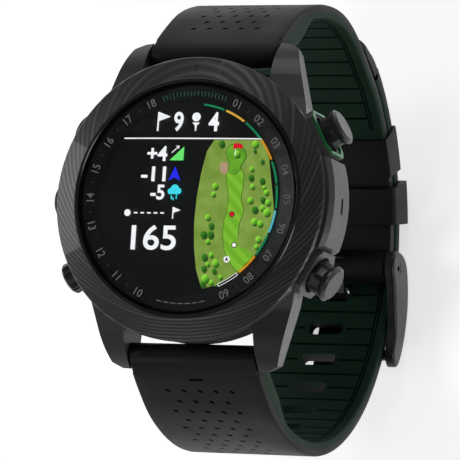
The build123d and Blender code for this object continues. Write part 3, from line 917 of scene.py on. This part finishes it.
showPiece([flatCurve("rough", mapOutline, 0)], "mapRoughShape", rough)
showPiece([flatCurve("rim", grow(fairwayOutline, 0.10), 1, smoothed=True),
           flatCurve("rim", grow(greenOutline, 0.10), 1,
          smoothed=True)], "mapRims", outline)
showPiece([flatCurve("fairway", fairwayOutline, 2, smoothed=True)], "mapFairwayShape", fairway)
showPiece([flatCurve("sand", sandOutline, 2, smoothed=True)], "mapSandShape", sand)
showPiece([flatCurve("rim", grow(greenOutline, 0.04), 3, smoothed=True)], "mapGreenRim", outline)
showPiece([flatCurve("green", grow(greenOutline, -0.04), 4, smoothed=True)], "mapGreenShape", green)

brightTrees = [(4.6, 2.0, .5), (4.4, .7, .38), (3.7, -3.0, .45), (4.0, -6.9, .36), (4.7, -9.0, .38),
               (5.5, -10.3, .58),
               (4.2, -10.5, .36), (3.9, -12.8, .62), (6.5, -12.5, .36), (10.9, 8.8, .55), (10.6, 4.8, .38),
               (10.9, 2.0, .4), (10.7, -.2, .5), (12.8, -1.4, .45), (13.3, 1.1, .45), (13.7, -.5, .48),
               (13.6, -2.1, .6), (11.6, -3.6, .55), (12.6, -3.9, .5), (12.5, -6.4, .5), (12.2, -7.6, .36),
               (12.9, 1.9, .32), (7.9, 7.2, .55), (5.0, -13.4, .4)]
darkTrees = [(4.4, -4.4, .5), (3.2, -5.8, .58), (4.4, -5.8, .58), (3.6, -9.4, .55), (3.6, -11.2, .5),
             (5.4, -11.6, .42),
             (3.6, -13.7, .5), (10.6, 3.4, .5), (12.3, 6.0, .36), (12.5, 2.9, .5), (12.8, -.1, .48),
             (11.6, -1.7, .55),
             (5.2, 8.8, .55), (10.9, 7.7, .3)]
shade = treeMaterial("treeShade", (0.03, 0.09, 0.01), (0.07, 0.17, 0.02))
dark = treeMaterial("treeDark", (0.012, 0.075, 0.008), (0.05, 0.24, 0.02))
bright = treeMaterial("treeBright", (0.05, 0.24, 0.012), (0.30, 0.78, 0.05))
shadows = [treeDisc(x + 0.12, y - 0.28, radius * 0.95, 5) for x, y, radius in brightTrees + darkTrees]
showPiece(shadows, "treeShadows", shade)
showPiece([treeDisc(x, y, radius, 6) for x, y, radius in darkTrees], "treesDark", dark)
showPiece([treeDisc(x, y, radius, 7) for x, y, radius in brightTrees], "treesBright", bright)

showPiece([flatDisc(7.8, -2.5, 0.46, 8)], "redMarkRim", darkRed)
flag = flatCurve("flag", [(7.2, 8.75), (7.9, 8.95), (8.8, 8.7), (8.75, 7.95), (8.0, 8.15), (7.3, 7.9)], 9)
showPiece([flatDisc(7.8, -2.5, 0.34, 9), flag], "redMarks", red)
showPiece([flatDisc(8.5, -7.4, 0.47, 8), flatCurve("arrow",
                                                   [(7.4, -9.25), (7.72, -10.05), (7.4, -9.85),
                                                    (7.08, -10.05)], 10)],
          "blackMarks", black)
ball = [flatDisc(8.5, -7.4, 0.33, 9), flatDisc(7.4, -9.7, 0.52, 9), flatBar(7.65, 7.4, 0.09, 1.1, 9)]
showPiece(ball, "whiteMarks", white)

headerLine = flatBar(0.1, 9.62, 23.6, 0.2, 9)
flagStick = flatBar(-6.0, 12.35, 0.26, 3.1, 9)
flagCloth = flatCurve("cloth", [(-5.9, 13.9), (-3.9, 13.15), (-5.9, 12.4)], 9)
nine = flatText("9", -2.45, 12.35, 2.95, 9)
golfBall = flatDisc(0.55, 13.1, 0.72, 9, 32)
tee = flatCurve("tee", [(-0.1, 12.2), (1.2, 12.2), (0.72, 11.7), (0.65, 10.85), (0.45, 10.85),
                        (0.38, 11.7)], 9)
four = flatText("4", 3.6, 12.35, 2.95, 9)
rows = [flatText("+4", -4.0, 7.15, 2.3, 9, squeeze=1.0, align="RIGHT"),
        flatText("-11", -4.0, 3.85, 2.3, 9, squeeze=1.15, align="RIGHT"),
        flatText("-5", -4.0, 0.9, 2.3, 9, squeeze=0.95, align="RIGHT")]
arrowStem = flatBar(-2.72, 7.75, 1.35, 0.13, 9, math.radians(42))
arrowTip = flatCurve("tip", [(-2.62, 8.4), (-2.0, 8.45), (-2.07, 7.82), (-2.2, 8.2)], 9)
distance = flatText("165", -5.35, -6.4, 3.85, 9, squeeze=1.12, bold=0.02)
ballRow = flatDisc(-10.2, -2.45, 0.55, 9)
dashes = [flatBar(-8.75 + 1.15 * index, -2.45, 0.62, 0.22, 9) for index in range(5)]
rowStick = flatBar(-2.3, -2.4, 0.2, 1.9, 9)
rowCloth = flatCurve("cloth", [(-2.2, -1.5), (-1.0, -1.95), (-2.2, -2.4)], 9)
showPiece([headerLine, flagStick, flagCloth, nine, golfBall, tee, four, *rows, arrowStem, arrowTip,
           distance, ballRow,
           *dashes, rowStick, rowCloth], "screenFigures", white)
showPiece([flatCurve("slope", [(-3.55, 6.05), (-1.15, 6.05), (-1.15, 8.3)], 9)], "slopeIcon", mint)
showPiece([flatCurve("wind", [(-2.45, 5.1), (-1.4, 2.75), (-2.45, 3.3), (-3.5, 2.75)], 9)], "windIcon",
          blue)
cloud = [flatDisc(-2.25, 1.45, 0.72, 9), flatDisc(-2.95, 1.05, 0.5, 10), flatDisc(-1.6, 1.1, 0.52, 11),
         flatBar(-2.28, 0.85, 1.35, 0.5, 12), flatBar(-2.75, 0.1, 0.2, 0.6, 9),
         flatBar(-1.9, 0.2, 0.2, 0.75, 9),
         flatBar(-2.45, -0.15, 0.2, 0.45, 9)]
showPiece(cloud, "rainIcon", cyan)


def arcPoints(radius, start, end, step=1.5):
    count = max(2, round(abs(end - start) / step))
    turns = [math.radians(90 - (start + (end - start) * index / count)) for index in range(count + 1)]
    return [(radius * math.cos(turn), radius * math.sin(turn)) for turn in turns]


def arcShape(radius, width, start, end, level):
    inside = arcPoints(radius - width / 2, start, end)
    outside = arcPoints(radius + width / 2, start, end)
    return flatCurve("arc", outside + inside[::-1], level)


arcOrder = ["green", "yellow", "green", "orange", "green", "green", "cyan", "green", "orange"]
for tone in arcTones:
    arcs = []
    for index, name in enumerate(arcOrder):
        if name == tone:
            start = screen["arcStart"] + screen["arcPitch"] * index
            arcs.append(arcShape(screen["arcRadius"], screen["arcWidth"], start,
                                 start + screen["arcLength"], 13))
    showPiece(arcs, "holeArc_" + tone, arcTones[tone])
lastStart = screen["arcStart"] + screen["arcPitch"] * len(arcOrder)
lastEnd = lastStart + screen["arcLength"]
openArc = [arcShape(screen["arcRadius"] + side, 0.08, lastStart, lastEnd, 13) for side in (-0.2, 0.2)]
for angle in (lastStart, lastEnd):
    turn = math.radians(90 - angle)
    openArc.append(flatBar(screen["arcRadius"] * math.cos(turn), screen["arcRadius"] * math.sin(turn),
                           0.46, 0.08, 14, turn))
showPiece(openArc, "holeArc_open", white)

ring = {"radius": 16.92, "height": 1.28, "step": 16.07, "innerRadius": 15.6, "outerRadius": 18.15,
        "rise": 0.35,
        "tick": (0.55, 0.09), "topMark": (0.8, 0.2), "topPitch": 2.05, "footMark": (0.16, 0.9),
        "footPitch": 4.2,
        "inkLift": 0.00008}
diamond = {"half": (0.45, 0.8, 0.05), "slope": math.atan2(0.95, 3.35), "reach": 21.15, "height": 13.37}


def onRing(radius):
    share = (radius - ring["innerRadius"]) / (ring["outerRadius"] - ring["innerRadius"])
    return ringTop - ring["rise"] * mm * (1 - share) + ring["inkLift"]


def tiltOnRing(obj):
    for vertex in obj.data.vertices:
        radius = math.hypot(vertex.co.x, vertex.co.y) / mm
        vertex.co.z = vertex.co.z + onRing(radius)
    return obj


def ringBar(turn, width, length):
    place = (ring["radius"] * math.cos(turn), ring["radius"] * math.sin(turn))
    return tiltOnRing(flatBar(*place, width, length, 0, turn, base=0.0))


numbers = []
ticks = []
for number in range(1, 19):
    angle = 90 + (number - 5) * ring["step"] if number < 10 else 270 + (number - 14) * ring["step"]
    turn = math.radians(90 - angle)
    inwardTop = 6 <= number <= 13
    facing = turn - math.radians(90) + (math.pi if inwardTop else 0)
    place = (ring["radius"] * math.cos(turn), ring["radius"] * math.sin(turn))
    label = flatText(f"{number:02d}", *place, ring["height"], 0, squeeze=0.95, bold=0.005, turn=facing,
                     base=0.0)
    numbers.append(tiltOnRing(label))
    if number not in (9, 18):
        ticks.append(ringBar(turn - math.radians(ring["step"] / 2), *ring["tick"]))
# The ring numbers, ticks and marks glow faintly as painted light over their printed colour.
showPiece(numbers, "ringNumbers", ringPrintPaintedGlow)
showPiece(ticks, "ringTicks", tickPrintPaintedGlow)
marks = [ringBar(math.radians(90 - index * ring["topPitch"]), *ring["topMark"]) for index in range(-9, 10)]
showPiece(marks, "ringTopMarks", wordPrintPaintedGlow)
feet = [ringBar(math.radians(270 + index * ring["footPitch"]), *ring["footMark"]) for index in range(-3, 4)]
showPiece(feet, "ringFootMarks", ringPrintPaintedGlow)
bpy.ops.mesh.primitive_cylinder_add(vertices=4, radius=1, depth=1)
bezelMark = bpy.context.object
bezelMark.scale = [half * mm for half in diamond["half"]]
bezelMark.rotation_euler = (-diamond["slope"], 0, 0)
bezelMark.location = (0, diamond["reach"] * mm, diamond["height"] * mm)
applyPlace(bezelMark)
showPiece([bezelMark], "bezelMark", plain["blackSeal"])
print("screen ready")


studio = {
    "floorSize": 6.0, "floorGap": 0.0002, "world": (0.30, 0.30, 0.31), "worldStrength": 0.10,
    "lamps": [
        ("topLamp", (-0.05, 0.75, 0.50), 0.45, 2.0), ("rightLamp", (0.72, -0.30, 0.35), 0.34, 1.5),
        ("frontLamp", (-0.30, -0.60, 0.60), 0.4, 1.7), ("leftLamp", (-0.72, 0.12, 0.50), 0.34, 1.7),
    ],
}


def addStudio(look):
    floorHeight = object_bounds()[0][2] - look["floorGap"]
    deselectAll()
    bpy.ops.mesh.primitive_plane_add(size=look["floorSize"], location=(0, 0, floorHeight))
    floor = bpy.context.object
    floor.name = "studioFloor"
    material, nodes, link, shader, place = startMaterial("paleFloor", 0.8)
    shader.inputs["Base Color"].default_value = (0.92, 0.92, 0.92, 1.0)
    shader.inputs["Emission Color"].default_value = (1.0, 1.0, 1.0, 1.0)
    shader.inputs["Emission Strength"].default_value = 0.6
    setMaterial(floor, material)
    floor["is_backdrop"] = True
    world = bpy.data.worlds.new("studioWorld")
    bpy.context.scene.world = world
    world.use_nodes = True
    backdrop = world.node_tree.nodes["Background"]
    backdrop.inputs["Color"].default_value = (*look["world"], 1.0)
    backdrop.inputs["Strength"].default_value = look["worldStrength"]
    for name, place, size, power in look["lamps"]:
        lampData = bpy.data.lights.new(name, "AREA")
        lampData.size = size
        lampData.energy = power
        lamp = bpy.data.objects.new(name, lampData)
        bpy.context.collection.objects.link(lamp)
        lamp.location = place
        lamp.rotation_euler = (Vector((0, 0, -0.005)) - Vector(place)).to_track_quat("-Z", "Y").to_euler()


addStudio(studio)

cameraLook = {
    "distance": 0.6, "away": (0.3838, -0.1438, 0.9122), "right": (0.9234, 0.0699, -0.3774),
    "up": (-0.0094, 0.9872, 0.1597),
    "target": (0.0, 0.0, 0.0139), "aimRight": 0.01174, "aimUp": -0.00866, "lens": 295.0,
}


def addCamera(look):
    away, right, up = Vector(look["away"]), Vector(look["right"]), Vector(look["up"])
    aim = (-away + look["aimRight"] * right + look["aimUp"] * up).normalized()
    side = (right - aim * right.dot(aim)).normalized()
    top = side.cross(aim)
    cameraData = bpy.data.cameras.new("studioCamera")
    cameraData.lens = look["lens"]
    cameraData.sensor_width = 36.0
    cameraData.clip_start = 0.05
    camera = bpy.data.objects.new("studioCamera", cameraData)
    bpy.context.collection.objects.link(camera)
    turn = Matrix((side, top, -aim)).transposed().to_4x4()
    camera.matrix_world = Matrix.Translation(Vector(look["target"]) + away * look["distance"]) @ turn
    bpy.context.scene.camera = camera


addCamera(cameraLook)
print("studio ready")
